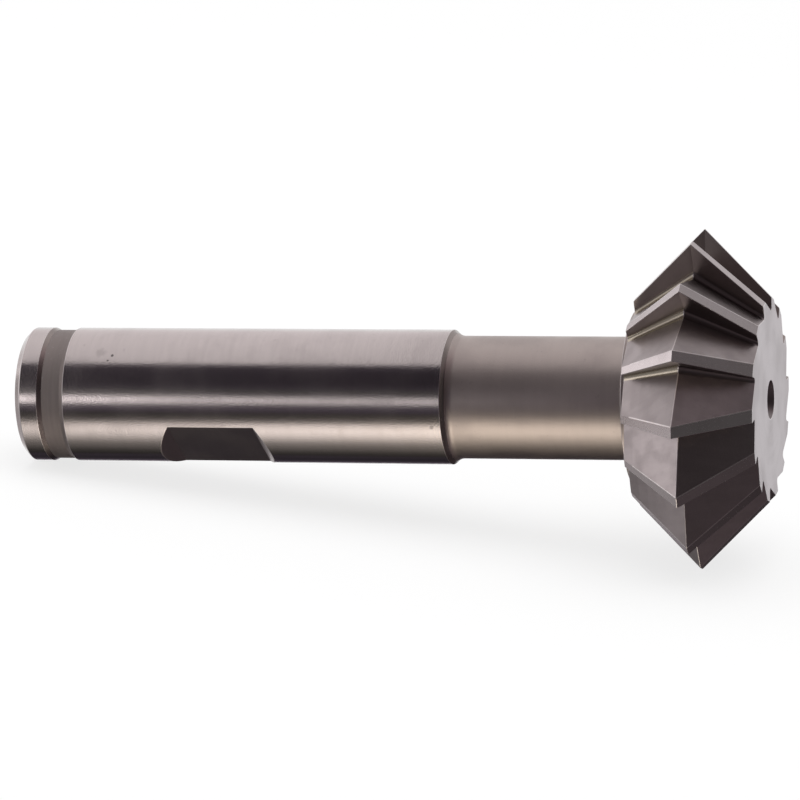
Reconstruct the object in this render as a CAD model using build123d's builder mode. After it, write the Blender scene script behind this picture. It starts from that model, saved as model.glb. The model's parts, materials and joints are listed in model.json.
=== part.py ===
from build123d import *
import os
from math import atan, atan2, cos, degrees, radians, sin, tan

# Double-angle cutter, in millimetres: a shank-type milling cutter made from one bar of tool steel.
# The features are drawn upright, with the tool's axis on Z and the shank's rear face at Z = 0.
# The finished cutter lies at rest on the lands of two neighbouring teeth and on its shank's rear rim.

# Shank
shank_diameter = 20.0
shank_length = 65.4
rear_chamfer = 0.9

# Ring groove near the rear end of the shank
groove_start = 3.6
groove_width = 4.05
groove_depth = 0.35
groove_flank_width = 0.65

# Clamping flat on the side of the shank, with a ramp at each end
flat_middle = 30.2
flat_length = 13.1
flat_depth = 1.9
flat_ramp_angle = 45.0

# Teeth from one that the cutter rests on to the one that the flat lines up with
flat_tooth_step = 1

# Neck
neck_diameter = 18.2
neck_length = 26.9
neck_fillet = 1.0
step_angle = 45.0

# Hub: a low ring between the neck and the teeth
hub_diameter = 26.4
hub_width = 0.6

# Head: two cones that meet at the largest diameter
head_diameter = 50.0
cone_angle = 45.0
rear_cone_width = 9.2
front_cone_width = 10.0

# Teeth
tooth_count = 14
rake_angle = 8.0
relief_angle = 6.0
edge_margin = 0.1
land_width = 1.7
front_end_land_width = 2.0
rear_end_land_width = 1.2
gullet_depth = 5.8
gullet_end_depth = 2.15
root_radius = 0.8
root_end_radius = 0.5

# Centre holes of a centre drill in both end faces
centre_mouth_diameter = 5.7
centre_pilot_diameter = 2.5
centre_pilot_depth = 3.2
centre_cone_angle = 60.0
drill_point_angle = 118.0

# Overshoot of the cutting shapes past the metal
overshoot = 2.0

# Derived sizes
shank_radius = shank_diameter / 2
neck_radius = neck_diameter / 2
hub_radius = hub_diameter / 2
head_radius = head_diameter / 2
step_width = abs(shank_radius - neck_radius) / tan(radians(step_angle))
hub_start = shank_length + step_width + neck_length
head_start = hub_start + hub_width
apex_height = head_start + rear_cone_width
overall_length = apex_height + front_cone_width
cone_slope = tan(radians(cone_angle))
rear_end_radius = head_radius - rear_cone_width * cone_slope
front_end_radius = head_radius - front_cone_width * cone_slope
tooth_pitch = 360 / tooth_count

# Slopes of a tooth's face and land, in a section square to the tool's axis
rake_slope = tan(radians(rake_angle)) * cos(radians(cone_angle))
relief_slope = tan(radians(relief_angle)) / cos(radians(cone_angle))


def heel_of_land(tip_radius, width):
    """Give the back corner of a land of this width, for a tooth whose tip points along X."""
    return Vector(tip_radius - relief_slope * (width - edge_margin), -width)


# At rest, a straight edge along the flat surface touches one tooth's tip and the next tooth's heel.
# Angles go round the tool's axis, counted from straight up.
contact_heel = heel_of_land(head_radius, land_width)
contact_tip = Vector(head_radius, 0).rotate(Axis.Z, -tooth_pitch)
contact_line = contact_tip - contact_heel
straight_down = contact_line.rotate(Axis.Z, 90).normalized()
first_tooth_angle = 180 - degrees(atan2(straight_down.Y, straight_down.X)) - tooth_pitch
flat_angle = first_tooth_angle - flat_tooth_step * tooth_pitch
contact_radius = contact_heel.dot(straight_down)
front_contact_radius = heel_of_land(front_end_radius, front_end_land_width).dot(straight_down)
rest_tilt = atan((contact_radius - shank_radius) / (apex_height - rear_chamfer))
rest_height = shank_radius * cos(rest_tilt) - rear_chamfer * sin(rest_tilt)
rest_rear_reach = (shank_radius - rear_chamfer) * sin(rest_tilt)
rest_front_reach = overall_length * cos(rest_tilt) + front_contact_radius * sin(rest_tilt)
rest_plane = Plane(
    origin=((rest_rear_reach - rest_front_reach) / 2, 0, rest_height),
    x_dir=(-sin(rest_tilt), 0, cos(rest_tilt)),
    z_dir=(cos(rest_tilt), 0, sin(rest_tilt)),
)

# Turned body: shank, groove, step, neck, hub and double cone as one revolved profile
with BuildPart() as turned_body:
    with BuildSketch(Plane.XZ):
        with BuildLine():
            Polyline(
                (0, 0),
                (shank_radius - rear_chamfer, 0),
                (shank_radius, rear_chamfer),
                (shank_radius, groove_start),
                (shank_radius - groove_depth, groove_start + groove_flank_width),
                (shank_radius - groove_depth, groove_start + groove_width - groove_flank_width),
                (shank_radius, groove_start + groove_width),
                (shank_radius, shank_length),
                (neck_radius, shank_length + step_width),
                (neck_radius, hub_start),
                (hub_radius, hub_start),
                (hub_radius, head_start),
                (rear_end_radius, head_start),
                (head_radius, apex_height),
                (front_end_radius, overall_length),
                (0, overall_length),
                close=True,
            )
        make_face()
    revolve(axis=Axis.Z)
    hub_rear_face = turned_body.faces().filter_by(Plane.XY).sort_by(Axis.Z)[-3]
    fillet(hub_rear_face.edges().sort_by(SortBy.RADIUS)[0], neck_fillet)


# Centre drill: its mouth lies at Z = 0 and it points down
with BuildPart() as centre_drill:
    mouth_radius = centre_mouth_diameter / 2
    pilot_radius = centre_pilot_diameter / 2
    cone_depth = (mouth_radius - pilot_radius) / tan(radians(centre_cone_angle / 2))
    pilot_end = cone_depth + centre_pilot_depth
    with BuildSketch(Plane.XZ):
        with BuildLine():
            Polyline(
                (0, overshoot),
                (mouth_radius, overshoot),
                (mouth_radius, 0),
                (pilot_radius, -cone_depth),
                (pilot_radius, -pilot_end),
                (0, -pilot_end - pilot_radius / tan(radians(drill_point_angle / 2))),
                close=True,
            )
        make_face()
    revolve(axis=Axis.Z)


# Metal removed for the clamping flat, with the flat's normal along X
with BuildPart() as flat_cut:
    floor_height = shank_radius - flat_depth
    ramp_rise = flat_depth + overshoot
    ramp_width = ramp_rise / tan(radians(flat_ramp_angle))
    with BuildSketch(Plane.XZ):
        with BuildLine():
            Polyline(
                (floor_height, flat_middle - flat_length / 2),
                (floor_height + ramp_rise, flat_middle - flat_length / 2 - ramp_width),
                (floor_height + ramp_rise, flat_middle + flat_length / 2 + ramp_width),
                (floor_height, flat_middle + flat_length / 2),
                close=True,
            )
        make_face()
    extrude(amount=shank_radius, both=True)


def tooth_space_section(height, tip_radius, depth, heel_width, fillet_radius):
    """Draw one tooth space square to the axis, from one tooth's face to the next tooth's edge."""
    outward = Vector(1, 0).rotate(Axis.Z, tooth_pitch)
    onward = outward.rotate(Axis.Z, 90)
    root = Vector(tip_radius - depth, -rake_slope * depth)
    heel = heel_of_land(tip_radius, heel_width).rotate(Axis.Z, tooth_pitch)
    beyond_edge = heel + (onward + outward * relief_slope) * (heel_width + overshoot)
    with BuildSketch(Plane.XY.offset(height)) as section:
        with BuildLine():
            Polyline(
                (tip_radius + overshoot, rake_slope * overshoot),
                root,
                heel,
                beyond_edge,
                beyond_edge + outward * overshoot,
                close=True,
            )
        make_face()
        fillet(section.vertices().sort_by_distance(root + Vector(0, 0, height))[0], fillet_radius)
    return section.sketch


def tooth_space_sections(direction, cone_width, end_land_width):
    """Draw a cone's tooth space at the largest diameter and past the cone's small end."""
    reach = (cone_width + overshoot) / cone_width
    end_radius = head_radius - cone_width * cone_slope * reach
    end_depth = gullet_depth + (gullet_end_depth - gullet_depth) * reach
    end_heel_width = land_width + (end_land_width - land_width) * reach
    end_root_radius = root_radius + (root_end_radius - root_radius) * reach
    end_height = apex_height + direction * cone_width * reach
    return [
        tooth_space_section(apex_height, head_radius, gullet_depth, land_width, root_radius),
        tooth_space_section(end_height, end_radius, end_depth, end_heel_width, end_root_radius),
    ]


with BuildPart() as rear_tooth_space:
    loft(tooth_space_sections(-1, rear_cone_width, rear_end_land_width), ruled=True)

with BuildPart() as front_tooth_space:
    loft(tooth_space_sections(1, front_cone_width, front_end_land_width), ruled=True)


# The finished cutter, laid down at rest
with BuildPart(rest_plane) as double_angle_cutter:
    add(turned_body.part)
    with PolarLocations(0, 1, start_angle=flat_angle):
        add(flat_cut.part, mode=Mode.SUBTRACT)
    with PolarLocations(0, tooth_count, start_angle=first_tooth_angle):
        add(rear_tooth_space.part, mode=Mode.SUBTRACT)
        add(front_tooth_space.part, mode=Mode.SUBTRACT)
    with Locations(Location((0, 0, overall_length)), Location((0, 0, 0), (180, 0, 0))):
        add(centre_drill.part, mode=Mode.SUBTRACT)

double_angle_cutter.part.label = "double_angle_cutter"
os.makedirs("parts", exist_ok=True)
export_step(double_angle_cutter.part, "parts/double_angle_cutter.step")
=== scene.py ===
import json
from math import acos, atan2, cos, pi, radians, sin, tan

import bmesh
import bpy
from bpy.props import FloatProperty, FloatVectorProperty, IntProperty, PointerProperty
from mathutils import Matrix, Vector


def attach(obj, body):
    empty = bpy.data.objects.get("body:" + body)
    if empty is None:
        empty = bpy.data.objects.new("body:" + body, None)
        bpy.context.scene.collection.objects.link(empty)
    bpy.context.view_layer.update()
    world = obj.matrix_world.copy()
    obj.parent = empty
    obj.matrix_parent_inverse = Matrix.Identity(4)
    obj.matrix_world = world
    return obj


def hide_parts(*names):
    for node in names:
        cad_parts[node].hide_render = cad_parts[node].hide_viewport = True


bl_info = {
    "name": "Double-angle cutter",
    "version": (1, 0, 0),
    "blender": (4, 5, 0),
    "location": "View3D > Sidebar > Cutter",
    "description": "Builds a shank-type double-angle milling cutter, its finishes and its stage",
    "category": "Object",
}

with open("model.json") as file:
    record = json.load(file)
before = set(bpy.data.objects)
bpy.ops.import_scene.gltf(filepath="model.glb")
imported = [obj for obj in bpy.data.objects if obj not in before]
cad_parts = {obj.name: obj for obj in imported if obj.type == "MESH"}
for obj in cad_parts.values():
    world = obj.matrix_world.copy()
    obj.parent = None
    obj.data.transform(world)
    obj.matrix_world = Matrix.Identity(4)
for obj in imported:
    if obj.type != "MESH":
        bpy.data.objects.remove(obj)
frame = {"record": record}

CAD_NODE = "double_angle_cutter"

# How finely the round surfaces are divided; the step fillet's steep steps look like the step and take its
# painted shade
FLAT_COLUMNS = 72
REST_COLUMNS = 288
HOLE_COLUMNS = 64
FILLET_STEPS = 8
STEP_FILLET_STEPS = 8
STEEP_FILLET_STEPS = 2
ROOT_STEPS = 8
CONE_STEPS = 6
EDGE_SEGMENTS = 2
FLOOR_SEGMENTS = 96

# Vertices nearer to each other than this are joined, in metres
JOIN_DISTANCE = 1e-7

# Corners sharper than this are broken where they stand out and stay sharp where they turn inward
CORNER_ANGLE = radians(24)

# Surfaces of the cutter, in the order of its material slots
ZONES = (
    "shank", "groove", "flat", "neck", "step", "land", "rake", "root", "dark_root", "wall", "end", "hole",
    "edge",
)

# Surfaces that are flat or made of flat strips
FLAT_ZONES = ("flat", "land", "rake", "wall", "end")

# Share of the edge break's width at the corners of some surfaces
BREAK_SHARES = {"end": 0.6, "step": 0.4, "groove": 0.4}

# Small stains on the shank: millimetres along from the rear face, radius in millimetres, degrees round
# from the clamping flat, and strength
STAINS = (
    (14.3, 0.22, -94.9, 0.8),
    (14.9, 0.3, -100.0, 0.9),
    (13.0, 1.1, -103.0, 0.2),
    (64.1, 0.45, -38.0, 0.4),
)

# How many times darker a stain is than stained steel
STAIN_DEPTH = 3

# Waves of noise in a stain's edge to one radius, and the distances from its middle, in radii with the
# noise added, at which it starts to fade and at which it ends
STAIN_WAVES = 1.5
STAIN_CORE = 0.8
STAIN_RIM = 1.5

# Broad lines of a cutting edge or a wheel: their width and their relief beside those of the fine lines
BROAD_WIDTH = 6.0
BROAD_RELIEF = 2.0

# Roughness of the floor
FLOOR_ROUGHNESS = 0.9

# Lays of the lines: rings, as turning and grinding leave them, spaced along a measure of the tool's own
# space, and straight lines that run along one measure of the lay map and are spaced along the other
RING_LAYS = {"round_axis": "Height", "round_face": "Radius"}
STRAIGHT_LAYS = {"along_cone": ("X", "Y"), "across_land": ("Y", "X")}

# Sockets of the node groups that carry a vector; the others carry a number
VECTOR_SOCKETS = ("Position", "Along", "Place")

# Sockets of a Mix node that mixes colours
MIX_FIRST = 6
MIX_SECOND = 7
MIX_RESULT = 2

# Nearest distance that the camera sees, in metres
NEAREST_SEEN = 0.01

# Degrees between the columns of a reflector card
CARD_STEP = 4

# Brightness of the reflector cards round the tool: degrees below the camera's direction, and brightness
ABOVE_SHANK = ((-150, 1.0), (-100, 0.97), (-70, 0.88), (-57, 0.79))
BEFORE_SHANK = (
    (-51, 0.07), (-40, 0.042), (-20, 0.037), (-8, 0.07), (0, 0.1), (20, 0.12), (30, 0.07), (40, 0.08),
    (118, 0.04), (130, 0.055), (137, 0.03), (150, 0.045), (165, 0.2),
)
LOW_FRONT = (
    (30, 0.05), (40, 0.11), (46, 0.3), (54, 1.3), (63, 1.62), (71, 1.3), (80, 0.78), (89, 0.37), (99, 0.22),
    (112, 0.08), (124, 0.03),
)
STRIP = ((-10, 0.07), (0, 0.14), (6, 1.0), (12, 1.0), (18, 0.1))
NECK_FLAG = ((-14, 0.09), (26, 0.1))
BEYOND_REAR = (
    (-156, 0.8), (-128, 0.95), (-100, 0.75), (-60, 0.6), (-10, 0.6), (10, 0.35), (40, 0.24), (92, 0.3),
    (116, 0.22), (128, 0.12), (141, 0.5), (165, 0.65),
)
REAR_END = (
    (-180, 0.5), (-155, 0.5), (-127, 1.3), (-60, 1.6), (-16, 1.8), (30, 1.3), (60, 0.85), (92, 0.64),
    (135, 0.45), (158, 0.72), (180, 0.5),
)
ROUND_REAR_END = (
    (-180, 0.5), (-156, 0.5), (-145, 1.4), (-127, 1.4), (-60, 1.1), (-16, 0.8), (30, 0.6), (60, 0.66),
    (92, 0.8), (135, 0.45), (180, 0.55),
)
ABOVE_HEAD = ((-160, 0.3), (-140, 0.36), (-121, 0.41), (-100, 0.33))
BEFORE_HEAD = (
    (-80, 0.27), (-60, 0.085), (-45, 0.048), (-15, 0.027), (20, 0.05), (51, 0.09), (104, 0.09), (124, 0.06),
    (133, 0.025), (172, 0.03),
)
FRONT_END = ((-180, 0.2), (-81, 0.15), (0, 0.09), (26, 0.11), (100, 0.07), (180, 0.2))

# Share of that brightness along a card: metres from the cutter's middle towards the head, or the name of
# a place that the stage sets, and share
SHANK_ROWS = (("rear", 1.0), (-0.1, 1.0), (-0.084, 0.64), ("head", 0.6))
REAR_ROWS = (("far rear", 1.0), ("rear", 1.0))
HEAD_ROWS = (("head", 2.0), (0.24, 2.0), (0.45, 1.0), ("far front", 1.0))
STRIP_ROWS = (
    ("rear", 2.6), (-0.19, 1.9), (-0.172, 1.25), (-0.15, 0.82), (-0.12, 0.7), (-0.09, 0.87), ("head", 0.8),
)
LOW_FRONT_ROWS = (("rear", 0.56), (-0.15, 0.95), (-0.1, 1.06))
NECK_FLAG_ROWS = ((0.0, 1.0), (0.035, 1.0))

# The same for the warm card's stretch that the neck mirrors, with a share for each colour
NECK_ROWS = (
    (-0.086, (1.08, 1.05, 0.98)),
    (-0.07, (1.35, 1.28, 1.15)),
    (-0.05, (1.6, 1.52, 1.37)),
    (0.025, (1.4, 1.33, 1.2)),
    (0.04, (3.0, 2.9, 2.7)),
    (0.1, (3.0, 2.9, 2.7)),
)

# Radius of the small dark card beside the neck, in metres
NECK_FLAG_RADIUS = 0.065

# Shares of the card distance: where the warm card and the strip stand before the others, and the radius
# of the disc behind the tool
WARM_LAYER = 0.98
STRIP_LAYER = 0.97
REAR_DISC = 0.7


def mount(name):
    """Give one of the record's mounts."""
    return next(m for m in frame["record"]["mounts"] if m["name"] == name)


# The tool's own directions at rest: from the rear face to the head, upward and sideways from its axis
AXIS = -Vector(mount("shank")["axis"]).normalized()
UPWARD = (Vector((0, 0, 1)) - AXIS * AXIS.z).normalized()
SIDEWAYS = AXIS.cross(UPWARD)
FLAT_DIRECTION = Vector(mount("clamping_flat")["axis"])
FLAT_ANGLE = atan2(FLAT_DIRECTION @ SIDEWAYS, FLAT_DIRECTION @ UPWARD)
SHANK_RADIUS = mount("shank")["dims"]["r_mm"] / 1000
GRIP_LENGTH = mount("shank")["dims"]["length_mm"] / 1000


def length(name, millimetres, description):
    """Describe a length, written here in millimetres and kept in metres."""
    metres = millimetres / 1000
    return FloatProperty(name=name, description=description, default=metres, precision=5, unit="LENGTH")


def angle(name, degrees, description):
    """Describe an angle, written here in degrees and kept in radians."""
    turn = radians(degrees)
    return FloatProperty(name=name, description=description, default=turn, precision=4, unit="ROTATION")


def factor(name, default, description):
    """Describe a share or a shader strength."""
    return FloatProperty(
        name=name, description=description, default=default, min=0.0, soft_max=1.0, precision=3
    )


def colour(name, default, description):
    """Describe a colour in linear light."""
    return FloatVectorProperty(
        name=name, description=description, default=default, size=3, min=0.0, subtype="COLOR"
    )


class CutterSizes(bpy.types.PropertyGroup):
    """Sizes of the cutter"""

    rear_chamfer: length("Rear chamfer", 0.9, "Width of the chamfer round the shank's rear face")
    groove_start: length("Groove start", 3.6, "From the rear face to the ring groove")
    groove_width: length("Groove width", 4.05, "Width of the ring groove, its sloping flanks included")
    groove_depth: length("Groove depth", 0.35, "Depth of the ring groove")
    groove_flank: length("Groove flank", 0.65, "Width of each sloping flank of the groove")
    flat_middle: length("Flat middle", 30.2, "From the rear face to the middle of the clamping flat")
    flat_length: length("Flat length", 13.1, "Length of the clamping flat's floor")
    flat_depth: length("Flat depth", 1.9, "Depth of the clamping flat below the shank")
    ramp_angle: angle("Ramp angle", 45.0, "Slope of the ramps at both ends of the clamping flat")
    step_angle: angle("Step angle", 45.0, "Slope of the step between the shank and the neck")
    step_fillet: length("Step fillet", 2.0, "Radius left by the turning tool between the step and the neck")
    neck_diameter: length("Neck diameter", 18.2, "Diameter of the neck")
    neck_length: length("Neck length", 26.9, "From the step to the hub")
    neck_fillet: length("Neck fillet", 1.0, "Radius between the neck and the hub")
    hub_diameter: length("Hub diameter", 26.4, "Diameter of the low ring behind the teeth")
    hub_width: length("Hub width", 0.6, "Width of the low ring behind the teeth")
    head_diameter: length("Head diameter", 50.0, "Largest diameter over the teeth")
    cone_angle: angle("Cone angle", 45.0, "Angle of both cones to the tool's axis")
    rear_cone: length("Rear cone", 9.2, "Width of the rear cone along the axis")
    front_cone: length("Front cone", 10.0, "Width of the front cone along the axis")
    teeth: IntProperty(name="Teeth", description="Number of teeth", default=14, min=3)
    rake_angle: angle("Rake angle", 8.0, "Rake of the teeth's faces")
    relief_angle: angle("Relief angle", 6.0, "Relief of the teeth's lands")
    edge_margin: length("Edge margin", 0.1, "Part of a land's width that adds nothing to its drop")
    land_width: length("Land width", 1.7, "Width of a land at the largest diameter")
    front_land: length("Front land", 2.0, "Width of a land at the front face")
    rear_land: length("Rear land", 1.2, "Width of a land at the head's rear face")
    gullet_depth: length("Gullet depth", 5.8, "Depth of a tooth space at the largest diameter")
    gullet_end: length("Gullet end depth", 2.15, "Depth of a tooth space at either face of the head")
    root_radius: length("Root radius", 0.8, "Radius in a tooth space's bottom at the largest diameter")
    root_end: length("Root end radius", 0.5, "Radius in a tooth space's bottom at either face of the head")
    reach: length("Cutting overshoot", 2.0, "How far the tooth spaces are cut past either face of the head")
    hole_mouth: length("Centre hole mouth", 5.7, "Diameter of a centre hole at the face")
    hole_pilot: length("Centre hole pilot", 2.5, "Diameter of a centre hole's pilot")
    pilot_depth: length("Pilot depth", 3.2, "Depth of a centre hole's pilot below its cone")
    hole_angle: angle("Centre hole angle", 60.0, "Full angle of a centre hole's cone")
    point_angle: angle("Drill point angle", 118.0, "Full angle at the bottom of a centre hole")
    edge_break: length("Edge break", 0.1, "Width of the broken edge at an outward corner")


class CutterFinish(bpy.types.PropertyGroup):
    """Colours and roughness of the cutter's surfaces"""

    ground: colour("Ground steel", (0.55, 0.51, 0.50), "Ground shank")
    turned: colour("Turned steel", (0.56, 0.505, 0.475), "Turned neck and hub")
    # The step colour is darkened to paint the shade on the step and on the groove's rear flank
    step: colour("Step steel", (0.36, 0.32, 0.30), "Slopes of the step and the groove that face the head")
    lands: colour("Land steel", (0.60, 0.56, 0.56), "Ground lands of the teeth")
    faced: colour("Faced steel", (0.48, 0.43, 0.45), "End faces")
    groove: colour("Groove steel", (0.26, 0.225, 0.215), "Matt ring groove")
    # The bare steel is lighter than the lands partly for wear and partly to paint the highlight along the
    # broken edges
    edge: colour("Bare steel", (0.80, 0.77, 0.76), "Bare metal along the worn edges")
    # The warm root colour paints the yellow highlight along the rear cone's tooth-space bottoms
    root: colour("Root steel", (0.60, 0.55, 0.45), "Heat-tinted bottoms of the rear cone's tooth spaces")
    face: colour("Tooth face steel", (0.39, 0.345, 0.325), "Faces of the teeth")
    milled: colour("Milled steel", (0.46, 0.42, 0.42), "Clamping flat and walls of the tooth spaces")
    # The stained colour also fills the front cone's tooth-space bottoms, where it paints shade
    stained: colour("Stained steel", (0.30, 0.27, 0.27), "Steel darkened by hardening")
    ground_roughness: factor("Ground roughness", 0.13, "Roughness of the ground shank")
    turned_roughness: factor("Turned roughness", 0.38, "Roughness of the turned neck")
    milled_roughness: factor("Milled roughness", 0.34, "Roughness of the milled tooth spaces")


class CutterStage(bpy.types.PropertyGroup):
    """Floor, light and camera"""

    floor: colour("Floor", (0.85, 0.85, 0.85), "Colour of the floor")
    floor_radius: length("Floor radius", 8000.0, "Radius of the round floor")
    floor_glow: factor("Floor glow", 0.76, "Share of plain white in the floor near the cutter")
    glow_start: length("Glow start", 100.0, "From the floor's middle to where its white starts to grow")
    glow_end: length("Glow end", 1000.0, "From the floor's middle to where it is all white")
    room_light: factor("Room light", 0.65, "Strength of the white light from all round")
    card_distance: length("Card distance", 450.0, "From the tool's axis to the reflector cards")
    card_reach: length("Card reach", 900.0, "From the cutter's middle to a card's end")
    rear_cards: length("Rear cards", 240.0, "From the cutter's middle back to the rear cards")
    head_cards: length("Head cards", 20.0, "From the cutter's middle back to the cards beside the head")
    plain_tint: colour("Plain tint", (1.0, 0.94, 0.95), "Tint of the bright cards")
    warm_tint: colour("Warm tint", (1.0, 0.92, 0.86), "Tint of the card low in front")
    dark_tint: colour("Dark tint", (1.0, 0.84, 1.05), "Tint of the dark card beside the shank")
    brown_tint: colour("Brown tint", (1.0, 0.80, 0.85), "Tint of the dark cards beside the head")
    lamp_height: length("Lamp height", 900.0, "Height of the soft lamp above the floor")
    lamp_back: length("Lamp back", 100.0, "From the cutter's middle back to the soft lamp")
    lamp_width: length("Lamp width", 1200.0, "Diameter of the soft lamp")
    lamp_power: FloatProperty(name="Lamp power", description="Power of the lamp", default=7.0, unit="POWER")
    camera_along: length("Camera along", 270.742, "Along the tool's axis from its rear face to the camera")
    camera_out: length("Camera out", 859.902, "Square to the tool's axis, from the axis to the camera")
    camera_round: angle("Camera round", -64.825, "Round the axis from the clamping flat to the camera")
    camera_turn: angle("Camera turn", 13.95399, "Turn of the camera back towards the cutter")
    camera_tilt: angle("Camera tilt", 0.03300, "Tilt of the camera")
    camera_roll: angle("Camera roll", 0.46850, "Roll of the camera")
    lens: FloatProperty(name="Lens", description="Focal length", default=268.284, unit="CAMERA")


def places_along(sizes):
    """Give how far from the rear face the cutter's parts start and end."""
    groove_end = sizes.groove_start + sizes.groove_width
    shank_end = groove_end + GRIP_LENGTH
    neck = shank_end + (SHANK_RADIUS - sizes.neck_diameter / 2) / tan(sizes.step_angle)
    hub = neck + sizes.neck_length
    head = hub + sizes.hub_width
    apex = head + sizes.rear_cone
    return {
        "groove_end": groove_end,
        "shank_end": shank_end,
        "neck": neck,
        "hub": hub,
        "head": head,
        "apex": apex,
        "front": apex + sizes.front_cone,
    }


def tool_matrix(sizes):
    """Place the tool's own axes: X upward and Z along the tool, with the rear face at zero."""
    grip_middle = Vector(mount("shank")["pos_m"])
    rear_face = grip_middle - AXIS * (places_along(sizes)["groove_end"] + GRIP_LENGTH / 2)
    turned = Matrix((UPWARD, SIDEWAYS, AXIS)).transposed()
    return Matrix.Translation(rear_face) @ turned.to_4x4()


def polar(radius, turn, height):
    """Give the point at this radius, angle and height in the tool's own axes."""
    return Vector((radius * cos(turn), radius * sin(turn), height))


def ring(radius, height, turns):
    """Give a closed row of points round the tool's axis."""
    return [polar(radius, turn, height) for turn in turns]


def spans_across(row, repeat):
    """Give where each face starts and ends across a row, counted afresh at every so many columns."""
    spans = []
    end = 0.0
    for column, point in enumerate(row):
        start = 0.0 if column % repeat == 0 else end
        end = start + (row[(column + 1) % len(row)] - point).length
        spans.append((start, end))
    return spans


def skin(bm, rows, zone_of, repeat=None):
    """Join closed rows of points into faces, and lay them out in metres along and across the faces.

    The measure across starts again at every so many columns as repeat says.
    """
    lay = bm.loops.layers.uv["lay"]
    rings = [[bm.verts.new(point) for point in row] for row in rows]
    count = len(rows[0])
    across = [spans_across(row, repeat or count) for row in rows]
    along = 0.0
    for i in range(len(rows) - 1):
        further = along + (rows[i + 1][0] - rows[i][0]).length
        for j in range(count):
            k = (j + 1) % count
            face = bm.faces.new((rings[i][j], rings[i][k], rings[i + 1][k], rings[i + 1][j]))
            face.material_index = ZONES.index(zone_of(i, j))
            near, far = across[i][j], across[i + 1][j]
            places = ((along, near[0]), (along, near[1]), (further, far[1]), (further, far[0]))
            for loop, place in zip(face.loops, places):
                loop[lay].uv = place
        along = further
    return rings


def close_between(bm, outer, inner, zone):
    """Fill the flat ring between two closed rows of vertices."""
    lay = bm.loops.layers.uv["lay"]
    edges = [bm.edges.get((row[j - 1], row[j])) for row in (outer, inner) for j in range(len(row))]
    made = bmesh.ops.triangle_fill(bm, use_beauty=True, use_dissolve=False, edges=edges)
    for face in made["geom"]:
        if isinstance(face, bmesh.types.BMFace):
            face.material_index = ZONES.index(zone)
            for loop in face.loops:
                loop[lay].uv = loop.vert.co.xy


def column_turns(half_flat):
    """Give the angles of the turned body's columns, with one on each long edge of the clamping flat."""
    across_flat = [FLAT_ANGLE + half_flat * (2 * k / FLAT_COLUMNS - 1) for k in range(FLAT_COLUMNS)]
    rest = 2 * (pi - half_flat)
    beyond = [FLAT_ANGLE + half_flat + rest * k / REST_COLUMNS for k in range(REST_COLUMNS)]
    return across_flat + beyond


def flat_rows(sizes, turns):
    """Give the rows of points at the rim and the floor of the clamping flat's two ramps."""
    floor_height = SHANK_RADIUS - sizes.flat_depth
    outward = Vector((cos(FLAT_ANGLE), sin(FLAT_ANGLE), 0))
    sideways = Vector((-sin(FLAT_ANGLE), cos(FLAT_ANGLE), 0))
    rows = []
    for end in (-1, 1):
        ramp_foot = sizes.flat_middle + end * sizes.flat_length / 2
        rim, floor = [], []
        for column, turn in enumerate(turns):
            rise = max(0.0, SHANK_RADIUS * cos(turn - FLAT_ANGLE) - floor_height)
            rim.append(polar(SHANK_RADIUS, turn, ramp_foot + end * rise / tan(sizes.ramp_angle)))
            point = polar(SHANK_RADIUS, turn, ramp_foot)
            if column <= FLAT_COLUMNS:
                aside = SHANK_RADIUS * sin(turn - FLAT_ANGLE)
                point = outward * floor_height + sideways * aside + Vector((0, 0, ramp_foot))
            floor.append(point)
        rows += [rim, floor] if end < 0 else [floor, rim]
    return rows


def step_fillet_bands(sizes, neck, turns):
    """Give the rows of the fillet between the step and the neck."""
    neck_radius = sizes.neck_diameter / 2
    slope = sizes.step_angle
    bands = []
    for k in range(STEP_FILLET_STEPS + 1):
        swing = slope * (1 - k / STEP_FILLET_STEPS)
        radius = neck_radius + sizes.step_fillet * (1 - cos(swing))
        height = neck + sizes.step_fillet * (tan(slope / 2) - sin(swing))
        # The steepest steps of the fillet take the step's darkened colour, a painted shade
        zone = "step" if k < STEEP_FILLET_STEPS else "neck"
        bands.append((ring(radius, height, turns), zone))
    return bands


def neck_fillet_bands(sizes, hub, turns):
    """Give the rows of the fillet between the neck and the hub."""
    bands = []
    for k in range(FILLET_STEPS + 1):
        swing = k * pi / 2 / FILLET_STEPS
        radius = sizes.neck_diameter / 2 + sizes.neck_fillet * (1 - cos(swing))
        bands.append((ring(radius, hub - sizes.neck_fillet * (1 - sin(swing)), turns), "neck"))
    return bands


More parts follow.
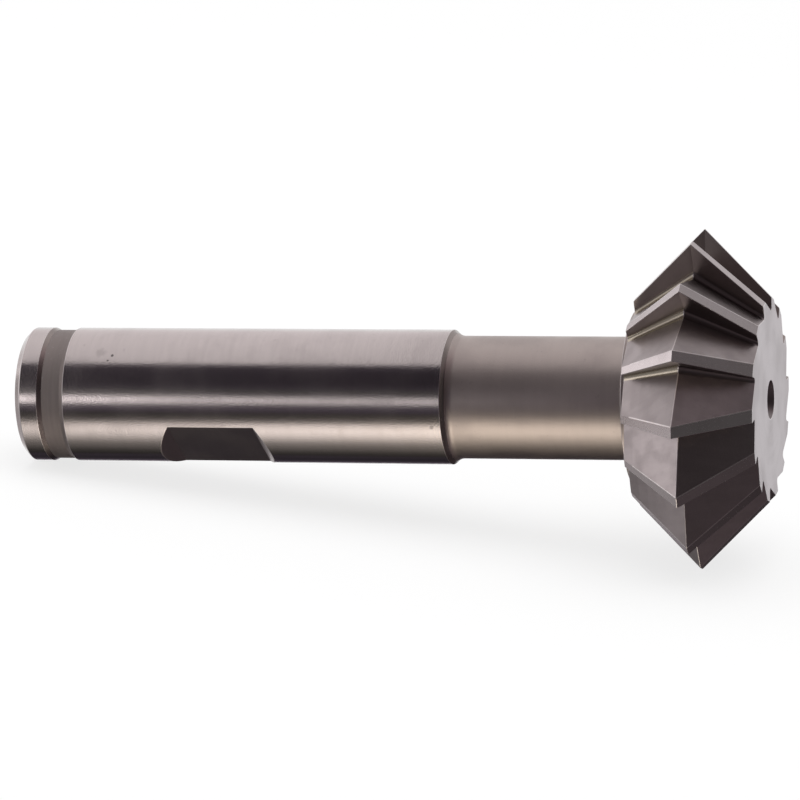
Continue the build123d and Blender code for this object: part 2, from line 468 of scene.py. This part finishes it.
def turned_body(bm, sizes):
    """Build the shank, groove, clamping flat, step, neck and hub; give the first and last rows."""
    groove_radius = SHANK_RADIUS - sizes.groove_depth
    hub_radius = sizes.hub_diameter / 2
    at = places_along(sizes)
    turns = column_turns(acos(1 - sizes.flat_depth / SHANK_RADIUS))
    bands = [
        (ring(SHANK_RADIUS - sizes.rear_chamfer, 0.0, turns), "shank"),
        (ring(SHANK_RADIUS, sizes.rear_chamfer, turns), "shank"),
        # The groove's rear flank takes the darkened step colour: a painted shadow
        (ring(SHANK_RADIUS, sizes.groove_start, turns), "step"),
        (ring(groove_radius, sizes.groove_start + sizes.groove_flank, turns), "groove"),
        (ring(groove_radius, at["groove_end"] - sizes.groove_flank, turns), "groove"),
        (ring(SHANK_RADIUS, at["groove_end"], turns), "shank"),
    ]
    ramps_and_floor = flat_rows(sizes, turns)
    flat_bands = range(len(bands), len(bands) + len(ramps_and_floor) - 1)
    bands += [(row, "shank") for row in ramps_and_floor]
    # The step takes its darkened colour, a painted shade
    bands.append((ring(SHANK_RADIUS, at["shank_end"], turns), "step"))
    bands += step_fillet_bands(sizes, at["neck"], turns)
    bands += neck_fillet_bands(sizes, at["hub"], turns)
    bands += [(ring(hub_radius, at["hub"], turns), "neck"), (ring(hub_radius, at["head"], turns), "neck")]

    def zone_of(row, column):
        return "flat" if row in flat_bands and column < FLAT_COLUMNS else bands[row][1]

    rings = skin(bm, [row for row, zone in bands], zone_of)
    return rings[0], rings[-1]


def tooth_outline(sizes, tip, depth, land, root_radius):
    """Give one land, its tooth's face and the space after it, for a tooth whose tip points along X."""
    pitch = 2 * pi / sizes.teeth
    rake_slope = tan(sizes.rake_angle) * cos(sizes.cone_angle)
    relief_slope = tan(sizes.relief_angle) / cos(sizes.cone_angle)
    heel = Vector((tip - relief_slope * (land - sizes.edge_margin), -land))
    root = Vector((tip - depth, -rake_slope * depth))
    next_heel = Matrix.Rotation(pitch, 2) @ heel
    up_face = (Vector((tip, 0)) - root).normalized()
    up_wall = (next_heel - root).normalized()
    opening = up_face.angle(up_wall)
    centre = root + (up_face + up_wall).normalized() * (root_radius / sin(opening / 2))
    start = root + up_face * (root_radius / tan(opening / 2)) - centre
    sweep = start.angle_signed(root + up_wall * (root_radius / tan(opening / 2)) - centre)
    arc = [centre + Matrix.Rotation(-sweep * k / ROOT_STEPS, 2) @ start for k in range(ROOT_STEPS + 1)]
    return [heel, Vector((tip, 0))] + arc


def outline_zones(root):
    """Give the surface that starts at each point of a tooth's outline."""
    return ("land", "rake") + (root,) * ROOT_STEPS + ("wall",)


def cone_outlines(sizes, width, end_land):
    """Give the tooth outlines at a cone's large and small ends, ruled between two sections."""
    past = (width + sizes.reach) / width
    top = sizes.head_diameter / 2

    def beyond_end(at_top, at_end):
        """Carry a size on past the cone's small end."""
        return at_top + (at_end - at_top) * past

    large = tooth_outline(sizes, top, sizes.gullet_depth, sizes.land_width, sizes.root_radius)
    beyond = tooth_outline(
        sizes,
        top - width * tan(sizes.cone_angle) * past,
        beyond_end(sizes.gullet_depth, sizes.gullet_end),
        beyond_end(sizes.land_width, end_land),
        beyond_end(sizes.root_radius, sizes.root_end),
    )
    return large, [a.lerp(b, 1 / past) for a, b in zip(large, beyond)]


def tooth_row(sizes, outline, height):
    """Repeat a tooth's outline round the axis, with one tooth's tip in line with the clamping flat."""
    pitch = 2 * pi / sizes.teeth
    row = []
    for k in range(sizes.teeth):
        turned = Matrix.Rotation(FLAT_ANGLE + k * pitch, 2)
        row += [(turned @ point).to_3d() + Vector((0, 0, height)) for point in outline]
    return row


def toothed_head(bm, sizes):
    """Build the two toothed cones; give the first and last rows."""
    apex = places_along(sizes)["apex"]
    cones = (
        (-1, sizes.rear_cone, sizes.rear_land, range(CONE_STEPS, 0, -1)),
        (1, sizes.front_cone, sizes.front_land, range(CONE_STEPS + 1)),
    )
    rows = []
    for direction, width, end_land, steps in cones:
        large, small = cone_outlines(sizes, width, end_land)
        for k in steps:
            outline = [a.lerp(b, k / CONE_STEPS) for a, b in zip(large, small)]
            rows.append(tooth_row(sizes, outline, apex + direction * width * k / CONE_STEPS))
    # The front cone's tooth-space bottoms take a darker finish, which paints the shade there
    rear_zones, front_zones = outline_zones("root"), outline_zones("dark_root")
    repeat = len(rear_zones)

    def zone_of(row, column):
        return (rear_zones if row < CONE_STEPS else front_zones)[column % repeat]

    rings = skin(bm, rows, zone_of, repeat)
    return rings[0], rings[-1]


def centre_hole(bm, sizes, face_height, inward):
    """Build a centre hole into an end face; give the row at its mouth."""
    turns = [2 * pi * k / HOLE_COLUMNS for k in range(HOLE_COLUMNS)]
    mouth, pilot = sizes.hole_mouth / 2, sizes.hole_pilot / 2
    cone_depth = (mouth - pilot) / tan(sizes.hole_angle / 2)
    pilot_end = cone_depth + sizes.pilot_depth
    point_depth = pilot_end + pilot / tan(sizes.point_angle / 2)
    rows = [
        ring(mouth, face_height, turns),
        ring(pilot, face_height + inward * cone_depth, turns),
        ring(pilot, face_height + inward * pilot_end, turns),
        ring(0.0, face_height + inward * point_depth, turns),
    ]
    return skin(bm, rows, lambda row, column: "hole")[0]


def mark_corners(bm):
    """Weigh the outward corners for their broken edge, and keep the inward ones sharp."""
    shares = {ZONES.index(zone): share for zone, share in BREAK_SHARES.items()}
    breaks = bm.edges.layers.float.new("bevel_weight_edge")
    for corner in bm.edges:
        if corner.calc_face_angle() > CORNER_ANGLE:
            if corner.is_convex:
                corner[breaks] = min(shares.get(face.material_index, 1.0) for face in corner.link_faces)
            else:
                corner.smooth = False


def cutter_mesh(sizes):
    """Build the whole cutter as one closed mesh, laid down at rest."""
    bm = bmesh.new()
    bm.loops.layers.uv.new("lay")
    rear_row, hub_row = turned_body(bm, sizes)
    head_row, front_row = toothed_head(bm, sizes)
    close_between(bm, rear_row, centre_hole(bm, sizes, 0.0, 1), "end")
    close_between(bm, head_row, hub_row, "end")
    close_between(bm, front_row, centre_hole(bm, sizes, places_along(sizes)["front"], -1), "end")
    bmesh.ops.remove_doubles(bm, verts=bm.verts, dist=JOIN_DISTANCE)
    bmesh.ops.recalc_face_normals(bm, faces=bm.faces)
    bmesh.ops.transform(bm, matrix=tool_matrix(sizes), verts=bm.verts)
    flat_slots = [ZONES.index(zone) for zone in FLAT_ZONES]
    for face in bm.faces:
        face.smooth = face.material_index not in flat_slots
    mark_corners(bm)
    mesh = bpy.data.meshes.new("cutter")
    bm.to_mesh(mesh)
    bm.free()
    return mesh


def break_edges(piece, width):
    """Break the outward corners by a narrow bevel of light bare metal, partly wear and partly a painted
    highlight, and keep the faces beside it flat.
    """
    bevel = piece.modifiers.new("edge_break", "BEVEL")
    bevel.width = width
    bevel.segments = EDGE_SEGMENTS
    bevel.limit_method = "WEIGHT"
    bevel.use_clamp_overlap = False
    bevel.harden_normals = True
    bevel.material = ZONES.index("edge")


def add_object(name, data):
    """Make an object from its data and link it to the collection."""
    made = bpy.data.objects.new(name, data)
    bpy.context.collection.objects.link(made)
    return made


def put(tree, source, socket):
    """Link a socket, or set a plain value."""
    if isinstance(source, bpy.types.NodeSocket):
        tree.links.new(source, socket)
    else:
        socket.default_value = source


def node(tree, kind, inputs=None, **settings):
    """Add a node with these settings, and link or set its inputs."""
    made = tree.nodes.new(kind)
    for name, value in settings.items():
        setattr(made, name, value)
    for name, source in (inputs or {}).items():
        put(tree, source, made.inputs[name])
    return made


def value_of(tree, operation, first, second):
    """Add a Math node for two values."""
    return node(tree, "ShaderNodeMath", {0: first, 1: second}, operation=operation).outputs[0]


def mixed(tree, share, first, second):
    """Mix two colours by a share; a plain colour has three parts."""
    ends = [end if isinstance(end, bpy.types.NodeSocket) else (*end, 1.0) for end in (first, second)]
    inputs = {"Factor": share, MIX_FIRST: ends[0], MIX_SECOND: ends[1]}
    return node(tree, "ShaderNodeMix", inputs, data_type="RGBA").outputs[MIX_RESULT]


def noise_at(tree, point, scale, detail=2.0, roughness=0.5):
    """Give a noise in three dimensions."""
    inputs = {"Vector": point, "Scale": scale, "Detail": detail, "Roughness": roughness}
    return node(tree, "ShaderNodeTexNoise", inputs, noise_dimensions="3D").outputs["Fac"]


def smooth_rise(tree, value, start, end, least=0.0):
    """Give a share that goes smoothly from the least to 1 while the value goes from start to end."""
    inputs = {"Value": value, "From Min": start, "From Max": end, "To Min": least}
    return node(tree, "ShaderNodeMapRange", inputs, interpolation_type="SMOOTHSTEP").outputs[0]


def new_group(name, inputs, outputs):
    """Start a shader node group with these named inputs and outputs."""
    group = bpy.data.node_groups.new(name, "ShaderNodeTree")
    for in_out, labels in (("INPUT", inputs), ("OUTPUT", outputs)):
        for label in labels:
            kind = "NodeSocketVector" if label in VECTOR_SOCKETS else "NodeSocketFloat"
            group.interface.new_socket(name=label, in_out=in_out, socket_type=kind)
    return group


def tool_space_group(sizes):
    """Group: the surface point in the tool's own axes, and its distance from the axis."""
    group = new_group("tool_space", (), ("Position", "Radius", "Height"))
    placed = tool_matrix(sizes)
    point = node(group, "ShaderNodeTexCoord").outputs["Object"]
    inputs = {"Vector": point, "Location": placed.translation, "Rotation": placed.to_euler()}
    position = node(group, "ShaderNodeMapping", inputs, vector_type="TEXTURE").outputs[0]
    parts = node(group, "ShaderNodeSeparateXYZ", {0: position}).outputs
    flat = node(group, "ShaderNodeCombineXYZ", {"X": parts["X"], "Y": parts["Y"]}).outputs[0]
    radius = node(group, "ShaderNodeVectorMath", {0: flat}, operation="LENGTH").outputs["Value"]
    node(group, "NodeGroupOutput", {"Position": position, "Radius": radius, "Height": parts["Z"]})
    return group


def lay_lines_group():
    """Group: fine lines left by a cutting edge or a grinding wheel, long one way and narrow the other."""
    labels = ("Along", "Across", "Line length", "Line width")
    group = new_group("lay_lines", labels, ("Lines", "Broad lines"))
    given = node(group, "NodeGroupInput").outputs
    inputs = {0: given["Along"], "Scale": value_of(group, "DIVIDE", 1.0, given["Line length"])}
    along = node(group, "ShaderNodeVectorMath", inputs, operation="SCALE").outputs[0]
    results = {}
    for label, breadth in (("Lines", 1.0), ("Broad lines", BROAD_WIDTH)):
        width = value_of(group, "MULTIPLY", given["Line width"], breadth)
        across = value_of(group, "DIVIDE", given["Across"], width)
        lift = node(group, "ShaderNodeCombineXYZ", {"Z": across}).outputs[0]
        place = node(group, "ShaderNodeVectorMath", {0: along, 1: lift}, operation="ADD").outputs[0]
        results[label] = noise_at(group, place, 1.0, detail=3.0, roughness=0.6)
    node(group, "NodeGroupOutput", results)
    return group


def handling_group():
    """Group: soft smudges, small dark specks and the fine grain of the ground metal."""
    sizes = ("Smudge size", "Speck size", "Grain size")
    group = new_group("handling", ("Position", *sizes), ("Smudges", "Specks", "Grain"))
    given = node(group, "NodeGroupInput").outputs
    results = {}
    for label, size, start, end, detail in (
        ("Smudges", "Smudge size", 0.42, 0.66, 4.0),
        ("Specks", "Speck size", 0.66, 0.74, 2.0),
        ("Grain", "Grain size", 0.0, 1.0, 2.0),
    ):
        scale = value_of(group, "DIVIDE", 1.0, given[size])
        results[label] = smooth_rise(group, noise_at(group, given["Position"], scale, detail), start, end)
    node(group, "NodeGroupOutput", results)
    return group


def stain_group():
    """Group: one small stain with an uneven edge, round a place in the tool's own axes."""
    group = new_group("stain", ("Position", "Place", "Size"), ("Mask",))
    given = node(group, "NodeGroupInput").outputs
    ends = {0: given["Position"], 1: given["Place"]}
    distance = node(group, "ShaderNodeVectorMath", ends, operation="DISTANCE").outputs["Value"]
    uneven = noise_at(group, given["Position"], value_of(group, "DIVIDE", STAIN_WAVES, given["Size"]))
    reach = value_of(group, "ADD", value_of(group, "DIVIDE", distance, given["Size"]), uneven)
    node(group, "NodeGroupOutput", {"Mask": smooth_rise(group, reach, STAIN_RIM, STAIN_CORE)})
    return group


def lay_places(tree, space, lay):
    """Give the measures along and across the lines of a lay."""
    if lay in RING_LAYS:
        inputs = {0: space["Position"], 1: (1.0, 1.0, 0.0)}
        flattened = node(tree, "ShaderNodeVectorMath", inputs, operation="MULTIPLY")
        return flattened.outputs[0], space[RING_LAYS[lay]]
    along, across = STRAIGHT_LAYS[lay]
    lay_map = node(tree, "ShaderNodeUVMap", uv_map="lay").outputs[0]
    parts = node(tree, "ShaderNodeSeparateXYZ", {0: lay_map}).outputs
    return node(tree, "ShaderNodeCombineXYZ", {"X": parts[along]}).outputs[0], parts[across]


def stained(tree, groups, position, toned, dark, stains):
    """Put stains on a colour."""
    for place, size, strength in stains:
        inputs = {"Position": position, "Place": place, "Size": size}
        spot = node(tree, "ShaderNodeGroup", inputs, node_tree=groups["stain"])
        share = value_of(tree, "MULTIPLY", spot.outputs["Mask"], strength)
        toned = mixed(tree, share, toned, [part / STAIN_DEPTH for part in dark])
    return toned


def metal(
    name, groups, lay, base, dark, roughness=0.3, metallic=1.0, roughness_lines=0.04, roughness_smudge=0.05,
    line_length=0.012, line_width=0.00012, line_depth=0.0000012, line_tone=0.12, smudge_size=0.006,
    smudge=0.12, speck_size=0.0006, speck=0.2, grain_size=0.00025, grain=2.0, stains=(),
):
    """Make one steel finish, its lengths in metres. The lay says which way its lines run."""
    material = bpy.data.materials.new(name)
    material.use_nodes = True
    tree = material.node_tree
    space = node(tree, "ShaderNodeGroup", node_tree=groups["tool_space"]).outputs
    position = space["Position"]
    along, across = lay_places(tree, space, lay)
    inputs = {"Along": along, "Across": across, "Line length": line_length, "Line width": line_width}
    lines = node(tree, "ShaderNodeGroup", inputs, node_tree=groups["lay_lines"]).outputs
    inputs = {"Smudge size": smudge_size, "Speck size": speck_size, "Grain size": grain_size}
    inputs["Position"] = position
    marks = node(tree, "ShaderNodeGroup", inputs, node_tree=groups["handling"]).outputs

    toned = mixed(tree, lines["Broad lines"], base, [part * (1 - line_tone) for part in base])
    for label, strength in (("Smudges", smudge), ("Specks", speck)):
        toned = mixed(tree, value_of(tree, "MULTIPLY", marks[label], strength), toned, dark)

    spread = value_of(tree, "MULTIPLY", lines["Lines"], roughness_lines)
    dulled = value_of(tree, "MULTIPLY", marks["Smudges"], roughness_smudge)
    rough = value_of(tree, "ADD", value_of(tree, "ADD", spread, dulled), roughness)

    broad = value_of(tree, "MULTIPLY", lines["Broad lines"], BROAD_RELIEF)
    rise = value_of(tree, "MULTIPLY", marks["Grain"], grain)
    relief = value_of(tree, "ADD", value_of(tree, "ADD", lines["Lines"], broad), rise)
    bump = node(tree, "ShaderNodeBump", {"Distance": line_depth, "Height": relief})

    shader = tree.nodes["Principled BSDF"].inputs
    put(tree, stained(tree, groups, position, toned, dark, stains), shader["Base Color"])
    put(tree, metallic, shader["Metallic"])
    put(tree, rough, shader["Roughness"])
    put(tree, bump.outputs["Normal"], shader["Normal"])
    return material


def cutter_materials(sizes, finish):
    """Make a finish for every surface of the cutter."""
    groups = {
        "tool_space": tool_space_group(sizes),
        "lay_lines": lay_lines_group(),
        "handling": handling_group(),
        "stain": stain_group(),
    }
    stains = [
        (polar(SHANK_RADIUS, FLAT_ANGLE + radians(turn), along / 1000), radius / 1000, strength)
        for along, radius, turn, strength in STAINS
    ]

    def steel(name, lay, base, dark=finish.stained, **changes):
        """Make a finish from these changes to the usual values."""
        return metal(name, groups, lay, base, dark, **changes)

    return {
        "shank": steel(
            "ground_shank", "round_axis", finish.ground,
            roughness=finish.ground_roughness, grain=7.0, stains=stains,
        ),
        "groove": steel(
            "matt_groove", "round_axis", finish.groove,
            roughness=0.5, smudge=0.0, speck=0.5, line_depth=0.000004, line_tone=0.3, metallic=0.73,
        ),
        "flat": steel("milled_flat", "round_axis", finish.milled),
        "neck": steel(
            "turned_neck", "round_axis", finish.turned,
            roughness=finish.turned_roughness, line_width=0.00022, line_depth=0.000004, smudge=0.15,
        ),
        # Darkened colour: painted shade on the step and the groove's rear flank
        "step": steel("shaded_step", "round_axis", finish.step, roughness=0.22),
        "land": steel("ground_land", "across_land", finish.lands, roughness=0.2),
        "rake": steel("ground_face", "along_cone", finish.face, roughness=0.34),
        # Warm colour: a painted highlight along the rear cone's tooth-space bottoms
        "root": steel("warm_highlit_root", "along_cone", finish.root, roughness=0.24),
        # Dark colour in the front cone's tooth-space bottoms: painted shade
        "dark_root": steel("shaded_front_root", "along_cone", finish.stained),
        "wall": steel(
            "milled_wall", "along_cone", finish.milled, roughness=finish.milled_roughness,
            line_width=0.0002, line_tone=0.2, line_depth=0.000003, smudge=0.25, smudge_size=0.003,
        ),
        "end": steel(
            "ground_end", "round_face", finish.faced,
            line_width=0.0003, line_tone=0.22, smudge=0.2, smudge_size=0.008,
        ),
        # Light bare steel on the broken edges: partly wear, partly a painted highlight
        "edge": steel("worn_highlit_edge", "along_cone", finish.edge, dark=finish.lands, smudge=0.8),
        "hole": steel("drilled_hole", "round_axis", finish.stained, roughness=0.4),
    }


def plain_rays(tree):
    """Give the share of rays that see the background as it is: camera, glossy and transmitted rays."""
    path = node(tree, "ShaderNodeLightPath").outputs
    seen = value_of(tree, "MAXIMUM", path["Is Camera Ray"], path["Is Glossy Ray"])
    return value_of(tree, "MAXIMUM", seen, path["Is Transmission Ray"])


def floor_material(stage):
    """Make the pale floor: it looks white, and keeps the cutter's shadow."""
    material = bpy.data.materials.new("pale_floor")
    material.use_nodes = True
    tree = material.node_tree
    shader = tree.nodes["Principled BSDF"]
    shader.inputs["Base Color"].default_value = (*stage.floor, 1.0)
    shader.inputs["Roughness"].default_value = FLOOR_ROUGHNESS
    point = node(tree, "ShaderNodeTexCoord").outputs["Object"]
    distance = node(tree, "ShaderNodeVectorMath", {0: point}, operation="LENGTH").outputs["Value"]
    white = smooth_rise(tree, distance, stage.glow_start, stage.glow_end, stage.floor_glow)
    share = value_of(tree, "MULTIPLY", plain_rays(tree), white)
    glow = node(tree, "ShaderNodeEmission")
    mix = node(tree, "ShaderNodeMixShader", {0: share, 1: shader.outputs[0], 2: glow.outputs[0]})
    put(tree, mix.outputs[0], tree.nodes["Material Output"].inputs[0])
    return material


def pale_floor(stage):
    """Lay the round floor."""
    bm = bmesh.new()
    bmesh.ops.create_circle(bm, cap_ends=True, radius=stage.floor_radius, segments=FLOOR_SEGMENTS)
    mesh = bpy.data.meshes.new("floor")
    bm.to_mesh(mesh)
    bm.free()
    mesh.materials.append(floor_material(stage))
    floor = add_object("floor", mesh)
    floor.visible_glossy = False


def white_world(stage):
    """Light the scene softly from all round, and show white behind it."""
    world = bpy.data.worlds.new("studio")
    world.use_nodes = True
    tree = world.node_tree
    background = tree.nodes["Background"].inputs
    more = value_of(tree, "MULTIPLY", plain_rays(tree), 1 - stage.room_light)
    put(tree, value_of(tree, "ADD", more, stage.room_light), background["Strength"])
    put(tree, (1.0, 1.0, 1.0, 1.0), background["Color"])
    bpy.context.scene.world = world


def soft_lamp(stage):
    """Hang the soft lamp above and behind the cutter."""
    data = bpy.data.lights.new("soft_lamp", "AREA")
    data.shape = "DISK"
    data.size = stage.lamp_width
    data.energy = stage.lamp_power
    lamp = add_object("soft_lamp", data)
    lamp.location = (0.0, stage.lamp_back, stage.lamp_height)
    lamp.visible_glossy = False


def camera_frame(stage):
    """Give the direction round the axis that the camera stands at, and the one square above it."""
    turn = FLAT_ANGLE + stage.camera_round
    outward = UPWARD * cos(turn) + SIDEWAYS * sin(turn)
    return outward, outward.cross(AXIS)


def brightness_at(stops, turn):
    """Give a card's colour at an angle, between the stops on either side of it."""
    for (start, first), (end, second) in zip(stops, stops[1:]):
        if start <= turn <= end:
            return Vector(first).lerp(Vector(second), (turn - start) / (end - start))
    raise ValueError(f"no stop covers the angle {turn}")


def card_turns(stops):
    """Give the angles of a card's columns, with one at every stop."""
    ends = [stop[0] for stop in stops]
    turns = []
    for start, end in zip(ends, ends[1:]):
        count = max(1, round((end - start) / CARD_STEP))
        turns += [start + (end - start) * k / count for k in range(count)]
    return turns + [ends[-1]]


def card(name, sizes, stage, material, rows, stops):
    """Add a reflector card, turned about the tool's axis and seen by glossy rays alone.

    Each row gives a place along the axis from the cutter's middle, a radius and a share of each colour.
    The stops give angles in degrees below the camera's direction, each with the colour shown there.
    """
    outward, above = camera_frame(stage)
    middle = tool_matrix(sizes).translation + AXIS * places_along(sizes)["front"] / 2
    turns = card_turns(stops)
    points, colours = [], []
    for turn in turns:
        arm = outward * cos(radians(turn)) - above * sin(radians(turn))
        shown = brightness_at(stops, turn)
        for along, radius, share in rows:
            points.append(middle + AXIS * along + arm * radius)
            colours.append((*(shown * Vector(share)), 1.0))
    width = len(rows)
    corners = [k * width + j for k in range(len(turns) - 1) for j in range(width - 1)]
    mesh = bpy.data.meshes.new(name)
    mesh.from_pydata(points, [], [(i, i + 1, i + width + 1, i + width) for i in corners])
    glow = mesh.color_attributes.new("glow", "FLOAT_COLOR", "POINT")
    for item, value in zip(glow.data, colours):
        item.color = value
    mesh.materials.append(material)
    made = add_object(name, mesh)
    for setting in ("visible_camera", "visible_diffuse", "visible_transmission", "visible_shadow"):
        setattr(made, setting, False)


def card_material():
    """Make the glow of the reflector cards, which takes its colour from the card."""
    material = bpy.data.materials.new("card_glow")
    material.use_nodes = True
    tree = material.node_tree
    colours = node(tree, "ShaderNodeAttribute", attribute_name="glow")
    glow = node(tree, "ShaderNodeEmission", {"Color": colours.outputs["Color"]})
    put(tree, glow.outputs[0], tree.nodes["Material Output"].inputs[0])
    return material


def tinted(tint, stops):
    """Give stops of one tint from pairs of an angle and a brightness."""
    return [(turn, [part * brightness for part in tint]) for turn, brightness in stops]


def disc_rows(along, outer, inner):
    """Give the two rows of a card that stands square to the axis."""
    return [(along, radius, (1.0, 1.0, 1.0)) for radius in (outer, inner)]


def reflector_cards(sizes, stage):
    """Stand the cards round the tool: bright behind, dark in front, and a warm one low in front."""
    material = card_material()
    plain, dark = stage.plain_tint, stage.dark_tint
    distance, reach = stage.card_distance, stage.card_reach
    warm_layer, inner = distance * WARM_LAYER, distance * REAR_DISC
    places = {"rear": -stage.rear_cards, "head": -stage.head_cards, "far rear": -reach, "far front": reach}

    def rows_at(radius, shares):
        """Give a card's rows at one radius, each with the same share of every colour."""
        return [(places.get(along, along), radius, (share, share, share)) for along, share in shares]

    beside_shank = tinted(plain, ABOVE_SHANK) + tinted(dark, BEFORE_SHANK)
    beside_head = tinted(plain, ABOVE_HEAD) + tinted(stage.brown_tint, BEFORE_HEAD)
    front_rows = rows_at(warm_layer, LOW_FRONT_ROWS)
    front_rows += [(along, warm_layer, shares) for along, shares in NECK_ROWS]
    for name, stops, rows in (
        ("card_beside_shank", beside_shank, rows_at(distance, SHANK_ROWS)),
        ("card_beyond_rear", tinted(plain, BEYOND_REAR), rows_at(distance, REAR_ROWS)),
        ("card_rear_end", tinted(plain, REAR_END), disc_rows(-reach, inner, 0.0)),
        ("card_round_rear_end", tinted(plain, ROUND_REAR_END), disc_rows(-reach, distance, inner)),
        ("card_front_end", tinted(plain, FRONT_END), disc_rows(reach, distance, 0.0)),
        ("card_beside_head", beside_head, rows_at(distance, HEAD_ROWS)),
        ("card_strip", tinted(plain, STRIP), rows_at(distance * STRIP_LAYER, STRIP_ROWS)),
        ("card_low_front", tinted(stage.warm_tint, LOW_FRONT), front_rows),
        ("flag_by_neck", tinted(dark, NECK_FLAG), rows_at(NECK_FLAG_RADIUS, NECK_FLAG_ROWS)),
    ):
        card(name, sizes, stage, material, rows, stops)


class CUTTER_OT_build_cutter(bpy.types.Operator):
    """Build the cutter from its sizes and give it its finishes"""

    bl_idname = "cutter.build_cutter"
    bl_label = "Build the cutter"

    def execute(self, context):
        sizes = context.scene.cutter_sizes
        piece = add_object("cutter", cutter_mesh(sizes))
        materials = cutter_materials(sizes, context.scene.cutter_finish)
        for zone in ZONES:
            piece.data.materials.append(materials[zone])
        break_edges(piece, sizes.edge_break)
        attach(piece, "root")
        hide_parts(CAD_NODE)
        return {"FINISHED"}


class CUTTER_OT_set_stage(bpy.types.Operator):
    """Set up the floor, the light, the reflector cards and the white background"""

    bl_idname = "cutter.set_stage"
    bl_label = "Set the stage"

    def execute(self, context):
        stage = context.scene.cutter_stage
        context.scene.view_settings.view_transform = "Standard"
        white_world(stage)
        pale_floor(stage)
        soft_lamp(stage)
        reflector_cards(context.scene.cutter_sizes, stage)
        return {"FINISHED"}


class CUTTER_OT_place_camera(bpy.types.Operator):
    """Place the camera beside the cutter"""

    bl_idname = "cutter.place_camera"
    bl_label = "Place the camera"

    def execute(self, context):
        sizes, stage = context.scene.cutter_sizes, context.scene.cutter_stage
        outward, above = camera_frame(stage)
        turn, tilt, roll = stage.camera_turn, stage.camera_tilt, stage.camera_roll
        level = AXIS * cos(turn) - outward * sin(turn)
        ahead = -AXIS * sin(turn) - outward * cos(turn)
        forward = ahead * cos(tilt) - above * sin(tilt)
        upright = above * cos(tilt) + ahead * sin(tilt)
        right = level * cos(roll) + upright * sin(roll)
        up = upright * cos(roll) - level * sin(roll)
        data = bpy.data.cameras.new("camera")
        data.lens = stage.lens
        data.clip_start = NEAREST_SEEN
        camera = add_object("camera", data)
        place = tool_matrix(sizes).translation + AXIS * stage.camera_along + outward * stage.camera_out
        turned = Matrix((right, up, -forward)).transposed()
        camera.matrix_world = Matrix.Translation(place) @ turned.to_4x4()
        context.scene.camera = camera
        return {"FINISHED"}


class CUTTER_PT_panel(bpy.types.Panel):
    """Lists the cutter's operators and sizes"""

    bl_idname = "CUTTER_PT_panel"
    bl_label = "Double-angle cutter"
    bl_space_type = "VIEW_3D"
    bl_region_type = "UI"
    bl_category = "Cutter"

    def draw(self, context):
        for operator in OPERATORS:
            self.layout.operator(operator.bl_idname)
        for settings in SETTINGS:
            group = getattr(context.scene, settings)
            box = self.layout.box()
            for name in group.__annotations__:
                box.prop(group, name)


SETTINGS = {"cutter_sizes": CutterSizes, "cutter_finish": CutterFinish, "cutter_stage": CutterStage}
OPERATORS = (CUTTER_OT_build_cutter, CUTTER_OT_set_stage, CUTTER_OT_place_camera)
CLASSES = (*SETTINGS.values(), *OPERATORS, CUTTER_PT_panel)


def register():
    """Register the classes and keep the settings on the scene."""
    for item in CLASSES:
        bpy.utils.register_class(item)
    for name, kind in SETTINGS.items():
        setattr(bpy.types.Scene, name, PointerProperty(type=kind))


def unregister():
    """Take the settings and the classes away again."""
    for name in SETTINGS:
        delattr(bpy.types.Scene, name)
    for item in reversed(CLASSES):
        bpy.utils.unregister_class(item)


def main():
    """Build the whole scene."""
    register()
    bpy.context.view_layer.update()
    bpy.ops.cutter.set_stage()
    bpy.ops.cutter.build_cutter()
    bpy.ops.cutter.place_camera()


if __name__ == "__main__":
    main()
